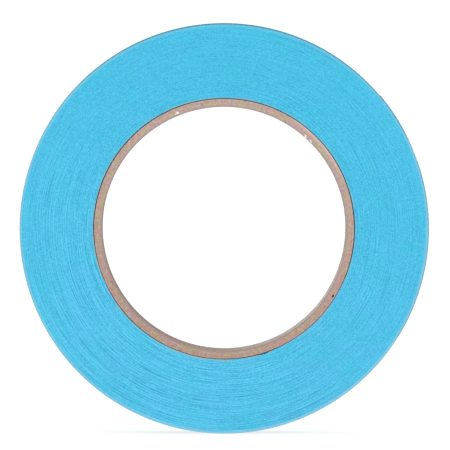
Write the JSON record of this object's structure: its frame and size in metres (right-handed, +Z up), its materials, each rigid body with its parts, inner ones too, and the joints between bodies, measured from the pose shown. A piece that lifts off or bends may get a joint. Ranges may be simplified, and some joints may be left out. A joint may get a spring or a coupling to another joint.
{
  "type": "masking tape roll",
  "caption": "Roll of creped paper masking tape on a spiral-wound paper core, with a free end that peels away.",
  "frame": {"origin": "centre of the core's bore, half way across the tape", "axes": "+Z up, with the roll standing on its tread; the roll's axis is along Y and its front face looks along -Y"},
  "size_m": [0.1278, 0.024, 0.1278],
  "materials": {
    "tape_backing": "matte",
    "tape_adhesive": "satin",
    "core_board": "matte",
    "core_liner_paper": "matte",
    "core_outer_paper": "matte"
  },
  "bodies": {
    "roll": {"core_inner_liner": "core_liner_paper", "core_body_ply_1": "core_board", "core_body_ply_2": "core_board", "core_body_ply_3": "core_board", "core_outer_ply": "core_outer_paper", "wound_tape": "tape_backing"},
    "tail_1": {"tail_backing_1": "tape_backing", "tail_adhesive_1": "tape_adhesive"},
    "tail_2": {"tail_backing_2": "tape_backing", "tail_adhesive_2": "tape_adhesive"},
    "tail_3": {"tail_backing_3": "tape_backing", "tail_adhesive_3": "tape_adhesive"},
    "tail_4": {"tail_backing_4": "tape_backing", "tail_adhesive_4": "tape_adhesive"},
    "tail_5": {"tail_backing_5": "tape_backing", "tail_adhesive_5": "tape_adhesive"},
    "tail_6": {"tail_backing_6": "tape_backing", "tail_adhesive_6": "tape_adhesive"},
    "tail_7": {"tail_backing_7": "tape_backing", "tail_adhesive_7": "tape_adhesive"},
    "tail_8": {"tail_backing_8": "tape_backing", "tail_adhesive_8": "tape_adhesive"}
  },
  "joints": [
    {"name": "tail_peel", "type": "hinge", "parent": "roll", "child": "tail_1", "pos_m": [0.05427, 0, -0.03392], "axis": [0, 1, 0], "range_deg": [0, 60]},
    {"name": "tail_bend_2", "type": "hinge", "parent": "tail_1", "child": "tail_2", "pos_m": [0.05891, 0, -0.02501], "axis": [0, 1, 0], "range_deg": [0, 14]},
    {"name": "tail_bend_3", "type": "hinge", "parent": "tail_2", "child": "tail_3", "pos_m": [0.0621, 0, -0.01548], "axis": [0, 1, 0], "range_deg": [0, 14]},
    {"name": "tail_bend_4", "type": "hinge", "parent": "tail_3", "child": "tail_4", "pos_m": [0.06376, 0, -0.00558], "axis": [0, 1, 0], "range_deg": [0, 14]},
    {"name": "tail_bend_5", "type": "hinge", "parent": "tail_4", "child": "tail_5", "pos_m": [0.06384, 0, 0.00446], "axis": [0, 1, 0], "range_deg": [0, 14]},
    {"name": "tail_bend_6", "type": "hinge", "parent": "tail_5", "child": "tail_6", "pos_m": [0.06236, 0, 0.0144], "axis": [0, 1, 0], "range_deg": [0, 14]},
    {"name": "tail_bend_7", "type": "hinge", "parent": "tail_6", "child": "tail_7", "pos_m": [0.05934, 0, 0.02397], "axis": [0, 1, 0], "range_deg": [0, 14]},
    {"name": "tail_bend_8", "type": "hinge", "parent": "tail_7", "child": "tail_8", "pos_m": [0.05486, 0, 0.03296], "axis": [0, 1, 0], "range_deg": [0, 14]}
  ],
  "couplings": [
    {"joint": "tail_bend_3", "follows": "tail_bend_2", "ratio": 1},
    {"joint": "tail_bend_4", "follows": "tail_bend_2", "ratio": 1},
    {"joint": "tail_bend_5", "follows": "tail_bend_2", "ratio": 1},
    {"joint": "tail_bend_6", "follows": "tail_bend_2", "ratio": 1},
    {"joint": "tail_bend_7", "follows": "tail_bend_2", "ratio": 1},
    {"joint": "tail_bend_8", "follows": "tail_bend_2", "ratio": 1}
  ]
}
